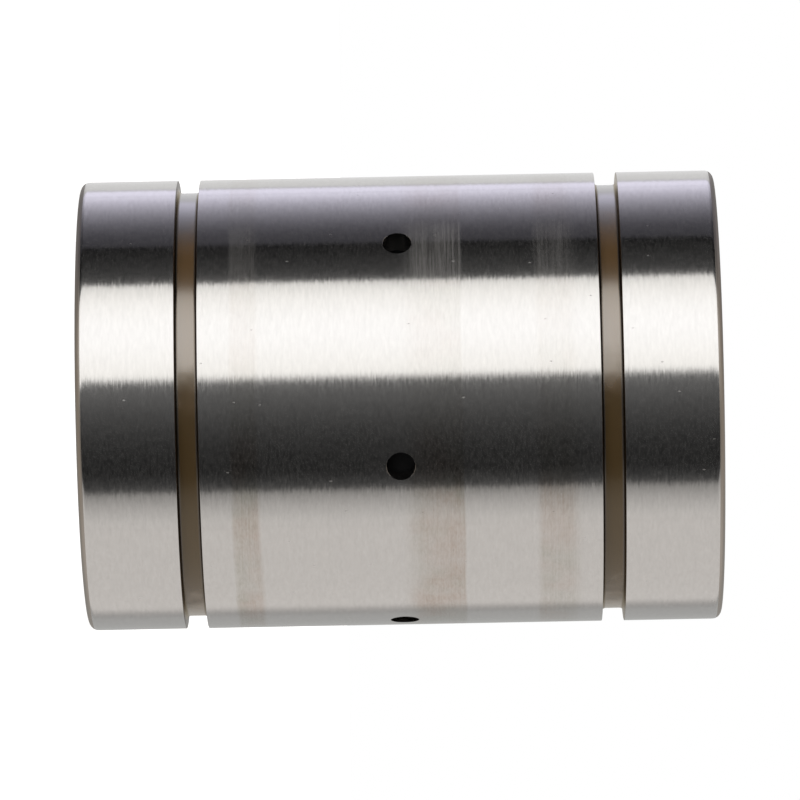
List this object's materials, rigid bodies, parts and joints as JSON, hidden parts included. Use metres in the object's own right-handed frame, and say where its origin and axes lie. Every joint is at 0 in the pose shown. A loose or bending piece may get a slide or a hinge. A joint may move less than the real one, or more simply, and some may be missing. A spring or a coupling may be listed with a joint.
{
  "type": "linear ball bearing",
  "caption": "Closed linear ball bearing: ground steel sleeve with retaining ring grooves and lubrication holes, recirculating ball circuits in a moulded cage, lip seals at the ends.",
  "frame": {"origin": "centre of the lower end face, on the bearing's axis", "axes": "+Z along the bearing's axis, up from the lower end face that it stands on; +X through one of the lubrication holes"},
  "size_m": [0.032, 0.032, 0.045],
  "materials": {
    "ground_steel": "ground",
    "ball_steel": "polished",
    "spring_steel": "phosphated",
    "cage_plastic": "moulded",
    "seal_rubber": "moulded"
  },
  "bodies": {
    "bearing": {"outer_sleeve": "ground_steel", "ball_cage": "cage_plastic", "lower_snap_ring": "spring_steel", "upper_snap_ring": "spring_steel", "lower_seal": "seal_rubber", "upper_seal": "seal_rubber"},
    "load_row_1": {"load_balls_1": "ball_steel"},
    "return_row_1": {"return_balls_1": "ball_steel"},
    "upper_turn_1": {"upper_turn_balls_1": "ball_steel"},
    "lower_turn_1": {"lower_turn_balls_1": "ball_steel"},
    "load_row_2": {"load_balls_2": "ball_steel"},
    "return_row_2": {"return_balls_2": "ball_steel"},
    "upper_turn_2": {"upper_turn_balls_2": "ball_steel"},
    "lower_turn_2": {"lower_turn_balls_2": "ball_steel"},
    "load_row_3": {"load_balls_3": "ball_steel"},
    "return_row_3": {"return_balls_3": "ball_steel"},
    "upper_turn_3": {"upper_turn_balls_3": "ball_steel"},
    "lower_turn_3": {"lower_turn_balls_3": "ball_steel"},
    "load_row_4": {"load_balls_4": "ball_steel"},
    "return_row_4": {"return_balls_4": "ball_steel"},
    "upper_turn_4": {"upper_turn_balls_4": "ball_steel"},
    "lower_turn_4": {"lower_turn_balls_4": "ball_steel"},
    "load_row_5": {"load_balls_5": "ball_steel"},
    "return_row_5": {"return_balls_5": "ball_steel"},
    "upper_turn_5": {"upper_turn_balls_5": "ball_steel"},
    "lower_turn_5": {"lower_turn_balls_5": "ball_steel"},
    "load_row_6": {"load_balls_6": "ball_steel"},
    "return_row_6": {"return_balls_6": "ball_steel"},
    "upper_turn_6": {"upper_turn_balls_6": "ball_steel"},
    "lower_turn_6": {"lower_turn_balls_6": "ball_steel"}
  },
  "joints": [
    {"name": "load_row_1_travel", "type": "slide", "parent": "bearing", "child": "load_row_1", "axis": [0, 0, 1], "range_m": [-0.00166, 0.00166]},
    {"name": "return_row_1_travel", "type": "slide", "parent": "bearing", "child": "return_row_1", "axis": [0, 0, 1], "range_m": [-0.00166, 0.00166]},
    {"name": "upper_turn_1_travel", "type": "hinge", "parent": "bearing", "child": "upper_turn_1", "pos_m": [0.01162, 0.00012, 0.03577], "axis": [-0.9783, 0.1361, 0.1564], "range_deg": [-30, 30]},
    {"name": "lower_turn_1_travel", "type": "hinge", "parent": "bearing", "child": "lower_turn_1", "pos_m": [0.01162, 0.00012, 0.00923], "axis": [0.9783, -0.1361, 0.1564], "range_deg": [-30, 30]},
    {"name": "load_row_2_travel", "type": "slide", "parent": "bearing", "child": "load_row_2", "axis": [0, 0, 1], "range_m": [-0.00166, 0.00166]},
    {"name": "return_row_2_travel", "type": "slide", "parent": "bearing", "child": "return_row_2", "axis": [0, 0, 1], "range_m": [-0.00166, 0.00166]},
    {"name": "upper_turn_2_travel", "type": "hinge", "parent": "bearing", "child": "upper_turn_2", "pos_m": [0.0057, 0.01012, 0.03577], "axis": [-0.607, -0.7791, 0.1564], "range_deg": [-30, 30]},
    {"name": "lower_turn_2_travel", "type": "hinge", "parent": "bearing", "child": "lower_turn_2", "pos_m": [0.0057, 0.01012, 0.00923], "axis": [0.607, 0.7791, 0.1564], "range_deg": [-30, 30]},
    {"name": "load_row_3_travel", "type": "slide", "parent": "bearing", "child": "load_row_3", "axis": [0, 0, 1], "range_m": [-0.00166, 0.00166]},
    {"name": "return_row_3_travel", "type": "slide", "parent": "bearing", "child": "return_row_3", "axis": [0, 0, 1], "range_m": [-0.00166, 0.00166]},
    {"name": "upper_turn_3_travel", "type": "hinge", "parent": "bearing", "child": "upper_turn_3", "pos_m": [-0.00591, 0.01, 0.03577], "axis": [0.3712, -0.9153, 0.1564], "range_deg": [-30, 30]},
    {"name": "lower_turn_3_travel", "type": "hinge", "parent": "bearing", "child": "lower_turn_3", "pos_m": [-0.00591, 0.01, 0.00923], "axis": [-0.3712, 0.9153, 0.1564], "range_deg": [-30, 30]},
    {"name": "load_row_4_travel", "type": "slide", "parent": "bearing", "child": "load_row_4", "axis": [0, 0, 1], "range_m": [-0.00166, 0.00166]},
    {"name": "return_row_4_travel", "type": "slide", "parent": "bearing", "child": "return_row_4", "axis": [0, 0, 1], "range_m": [-0.00166, 0.00166]},
    {"name": "upper_turn_4_travel", "type": "hinge", "parent": "bearing", "child": "upper_turn_4", "pos_m": [-0.01162, -0.00012, 0.03577], "axis": [0.9783, -0.1361, 0.1564], "range_deg": [-30, 30]},
    {"name": "lower_turn_4_travel", "type": "hinge", "parent": "bearing", "child": "lower_turn_4", "pos_m": [-0.01162, -0.00012, 0.00923], "axis": [-0.9783, 0.1361, 0.1564], "range_deg": [-30, 30]},
    {"name": "load_row_5_travel", "type": "slide", "parent": "bearing", "child": "load_row_5", "axis": [0, 0, 1], "range_m": [-0.00166, 0.00166]},
    {"name": "return_row_5_travel", "type": "slide", "parent": "bearing", "child": "return_row_5", "axis": [0, 0, 1], "range_m": [-0.00166, 0.00166]},
    {"name": "upper_turn_5_travel", "type": "hinge", "parent": "bearing", "child": "upper_turn_5", "pos_m": [-0.0057, -0.01012, 0.03577], "axis": [0.607, 0.7791, 0.1564], "range_deg": [-30, 30]},
    {"name": "lower_turn_5_travel", "type": "hinge", "parent": "bearing", "child": "lower_turn_5", "pos_m": [-0.0057, -0.01012, 0.00923], "axis": [-0.607, -0.7791, 0.1564], "range_deg": [-30, 30]},
    {"name": "load_row_6_travel", "type": "slide", "parent": "bearing", "child": "load_row_6", "axis": [0, 0, 1], "range_m": [-0.00166, 0.00166]},
    {"name": "return_row_6_travel", "type": "slide", "parent": "bearing", "child": "return_row_6", "axis": [0, 0, 1], "range_m": [-0.00166, 0.00166]},
    {"name": "upper_turn_6_travel", "type": "hinge", "parent": "bearing", "child": "upper_turn_6", "pos_m": [0.00591, -0.01, 0.03577], "axis": [-0.3712, 0.9153, 0.1564], "range_deg": [-30, 30]},
    {"name": "lower_turn_6_travel", "type": "hinge", "parent": "bearing", "child": "lower_turn_6", "pos_m": [0.00591, -0.01, 0.00923], "axis": [0.3712, -0.9153, 0.1564], "range_deg": [-30, 30]}
  ],
  "couplings": [
    {"joint": "return_row_1_travel", "follows": "load_row_1_travel", "ratio": -1},
    {"joint": "upper_turn_1_travel", "follows": "load_row_1_travel", "rad_per_m": 315.72},
    {"joint": "lower_turn_1_travel", "follows": "load_row_1_travel", "rad_per_m": -315.72},
    {"joint": "return_row_2_travel", "follows": "load_row_2_travel", "ratio": -1},
    {"joint": "upper_turn_2_travel", "follows": "load_row_2_travel", "rad_per_m": 315.72},
    {"joint": "lower_turn_2_travel", "follows": "load_row_2_travel", "rad_per_m": -315.72},
    {"joint": "return_row_3_travel", "follows": "load_row_3_travel", "ratio": -1},
    {"joint": "upper_turn_3_travel", "follows": "load_row_3_travel", "rad_per_m": 315.72},
    {"joint": "lower_turn_3_travel", "follows": "load_row_3_travel", "rad_per_m": -315.72},
    {"joint": "return_row_4_travel", "follows": "load_row_4_travel", "ratio": -1},
    {"joint": "upper_turn_4_travel", "follows": "load_row_4_travel", "rad_per_m": 315.72},
    {"joint": "lower_turn_4_travel", "follows": "load_row_4_travel", "rad_per_m": -315.72},
    {"joint": "return_row_5_travel", "follows": "load_row_5_travel", "ratio": -1},
    {"joint": "upper_turn_5_travel", "follows": "load_row_5_travel", "rad_per_m": 315.72},
    {"joint": "lower_turn_5_travel", "follows": "load_row_5_travel", "rad_per_m": -315.72},
    {"joint": "return_row_6_travel", "follows": "load_row_6_travel", "ratio": -1},
    {"joint": "upper_turn_6_travel", "follows": "load_row_6_travel", "rad_per_m": 315.72},
    {"joint": "lower_turn_6_travel", "follows": "load_row_6_travel", "rad_per_m": -315.72}
  ]
}
